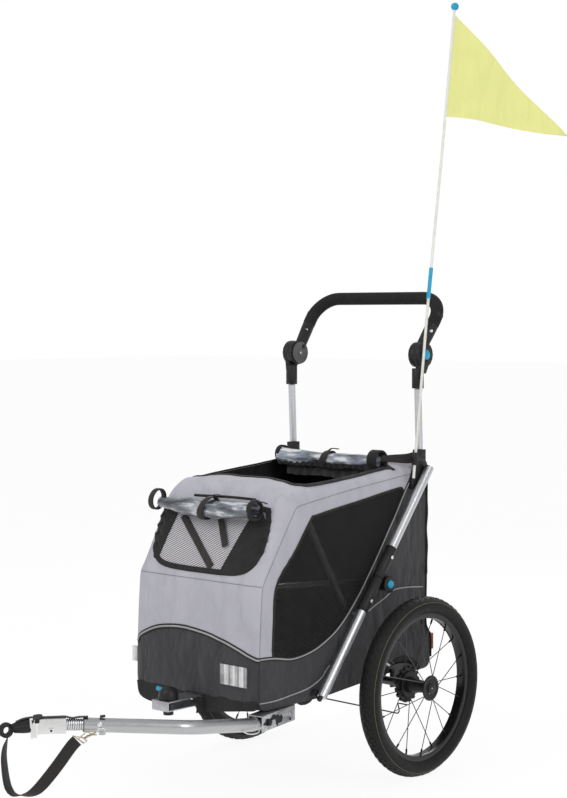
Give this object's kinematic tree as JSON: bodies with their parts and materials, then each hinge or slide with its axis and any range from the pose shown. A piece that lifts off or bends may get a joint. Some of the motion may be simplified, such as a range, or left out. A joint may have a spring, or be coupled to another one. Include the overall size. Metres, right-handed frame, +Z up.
{
  "type": "bicycle trailer",
  "caption": "Two-wheeled bicycle trailer for a small pet, with a fabric cabin, folding frame, push handle, side tow arm and flag.",
  "frame": {"origin": "on the ground under the middle of the whole trailer", "axes": "+Z up, -Y is the front where the tow arm points, +X is the trailer's left side, which carries the tow arm and the flag"},
  "size_m": [0.595, 1.541, 1.761],
  "materials": {
    "grey_cloth": "matt woven polyester",
    "charcoal_cloth": "matt coated polyester",
    "black_mesh": "open mesh with black binding",
    "floor_cloth": "padded floor mat",
    "clear_film": "clear film, rolled up",
    "webbing": "woven black webbing",
    "brushed_tube": "brushed, clear anodised",
    "black_plastic": "fine moulded texture",
    "blue_plastic": "satin moulded",
    "foam": "fine closed-cell foam",
    "tyre_rubber": "block tread at both edges",
    "black_metal": "gloss black",
    "zinc_steel": "zinc plated",
    "black_rubber": "moulded rubber",
    "flag_cloth": "thin fluorescent cloth",
    "glass_fibre": "off-white rod with a blue ferrule and ball",
    "clear_reflector": "prismatic, colourless",
    "red_reflector": "prismatic, red"
  },
  "bodies": {
    "chassis": {"axle": "black_metal", "base_frame": "brushed_tube", "floor_mat": "floor_cloth", "lower_tube_left": "brushed_tube", "lower_tube_right": "brushed_tube", "lower_sleeve_left": "black_plastic", "lower_sleeve_right": "black_plastic", "cabin_tub": "charcoal_cloth", "cabin_hood": "grey_cloth", "side_window_left": "black_mesh", "side_window_right": "black_mesh", "front_window": "black_mesh", "front_cover_roll": "clear_film", "roof_cover_roll": "clear_film", "receiver_channel": "zinc_steel", "tow_arm": "brushed_tube", "snap_hook": "zinc_steel", "safety_strap": "webbing", "nose_bracket": "zinc_steel", "nose_clamp": "black_plastic", "front_reflector": "clear_reflector", "rear_reflector_left": "red_reflector", "rear_reflector_right": "red_reflector"},
    "wheel_left": {"tyre_left": "tyre_rubber", "rim_left": "black_metal", "spoked_hub_left": "black_plastic", "brake_cog_left": "black_plastic"},
    "wheel_right": {"tyre_right": "tyre_rubber", "rim_right": "black_metal", "spoked_hub_right": "black_plastic", "brake_cog_right": "black_plastic"},
    "release_left": {"wheel_release_left": "black_plastic"},
    "release_right": {"wheel_release_right": "black_plastic"},
    "rear_frame": {"upper_sleeve_left": "black_plastic", "upper_sleeve_right": "black_plastic", "upper_tube_left": "brushed_tube", "upper_tube_right": "brushed_tube", "upright_bracket_left": "black_plastic", "upright_bracket_right": "black_plastic", "upright_left": "brushed_tube", "upright_right": "brushed_tube", "handle_socket_left": "black_plastic", "handle_socket_right": "black_plastic"},
    "fold_button_left": {"fold_button_left": "blue_plastic"},
    "fold_button_right": {"fold_button_right": "blue_plastic"},
    "push_handle": {"handle_bar": "black_plastic", "foam_grip": "foam"},
    "handle_button_left": {"handle_button_left": "blue_plastic"},
    "handle_button_right": {"handle_button_right": "blue_plastic"},
    "flag_mast": {"flag_pole": "glass_fibre", "flag": "flag_cloth"},
    "roof_bow": {"roof_hoop": "brushed_tube"},
    "crease_bow": {"crease_hoop": "brushed_tube"},
    "lock_pin": {"receiver_pin": "zinc_steel"},
    "coupling": {"coupling_spring": "zinc_steel", "coupling_block": "brushed_tube", "flexible_coupler": "black_rubber", "strap_tail": "webbing"},
    "clamp_lever": {"clamp_lever": "blue_plastic"},
    "parking_brake": {"brake_rod": "black_metal"}
  },
  "joints": [
    {"name": "wheel_left_spin", "type": "hinge", "parent": "chassis", "child": "wheel_left", "pos_m": [0.264, 0.2205, 0.203], "axis": [1, 0, 0], "continuous": true},
    {"name": "wheel_release_left", "type": "slide", "parent": "wheel_left", "child": "release_left", "axis": [-1, 0, 0], "range_m": [0, 0.003], "stiffness_N_per_m": 600},
    {"name": "fold_button_left", "type": "slide", "parent": "rear_frame", "child": "fold_button_left", "axis": [-1, 0, 0], "range_m": [0, 0.004], "stiffness_N_per_m": 600},
    {"name": "handle_button_left", "type": "slide", "parent": "rear_frame", "child": "handle_button_left", "axis": [-1, 0, 0], "range_m": [0, 0.004], "stiffness_N_per_m": 600},
    {"name": "wheel_right_spin", "type": "hinge", "parent": "chassis", "child": "wheel_right", "pos_m": [-0.264, 0.2205, 0.203], "axis": [1, 0, 0], "continuous": true},
    {"name": "wheel_release_right", "type": "slide", "parent": "wheel_right", "child": "release_right", "axis": [1, 0, 0], "range_m": [0, 0.003], "stiffness_N_per_m": 600},
    {"name": "fold_button_right", "type": "slide", "parent": "rear_frame", "child": "fold_button_right", "axis": [1, 0, 0], "range_m": [0, 0.004], "stiffness_N_per_m": 600},
    {"name": "handle_button_right", "type": "slide", "parent": "rear_frame", "child": "handle_button_right", "axis": [1, 0, 0], "range_m": [0, 0.004], "stiffness_N_per_m": 600},
    {"name": "frame_fold", "type": "hinge", "parent": "chassis", "child": "rear_frame", "pos_m": [0, 0.16053, 0.43704], "axis": [-1, 0, 0], "range_deg": [0, 75]},
    {"name": "handle_tilt", "type": "hinge", "parent": "rear_frame", "child": "push_handle", "pos_m": [0, 0.3105, 0.948], "axis": [1, 0, 0], "range_deg": [-65, 65]},
    {"name": "flag_mast_slide", "type": "slide", "parent": "rear_frame", "child": "flag_mast", "axis": [0, 0.1286, 0.9917], "range_m": [0, 0.045]},
    {"name": "canopy_fold", "type": "hinge", "parent": "chassis", "child": "roof_bow", "pos_m": [0, 0.0745, 0.3772], "axis": [1, 0, 0], "range_deg": [0, 62], "deforming": ["cabin_hood", "side_window_left", "side_window_right", "front_window", "front_cover_roll", "roof_cover_roll"]},
    {"name": "crease_fold", "type": "hinge", "parent": "chassis", "child": "crease_bow", "pos_m": [0, 0.16053, 0.43704], "axis": [1, 0, 0], "range_deg": [0, 19]},
    {"name": "receiver_pin_slide", "type": "slide", "parent": "chassis", "child": "lock_pin", "axis": [0.9804, 0.1968, 0], "range_m": [0, 0.045]},
    {"name": "coupling_flex", "type": "hinge", "parent": "chassis", "child": "coupling", "pos_m": [0.0845, -0.6535, 0.2405], "axis": [0, 0, 1], "range_deg": [-15, 15], "stiffness_Nm_per_rad": 8, "deforming": ["coupling_spring", "safety_strap"]},
    {"name": "clamp_lever_turn", "type": "hinge", "parent": "chassis", "child": "clamp_lever", "pos_m": [0, -0.3145, 0.24], "axis": [0, 0, -1], "range_deg": [0, 90]},
    {"name": "parking_brake_lift", "type": "hinge", "parent": "chassis", "child": "parking_brake", "pos_m": [0, -0.0235, 0.2044], "axis": [1, 0, 0], "range_deg": [0, 1.8]}
  ],
  "couplings": [
    {"joint": "crease_fold", "follows": "canopy_fold", "ratio": 0.3}
  ]
}
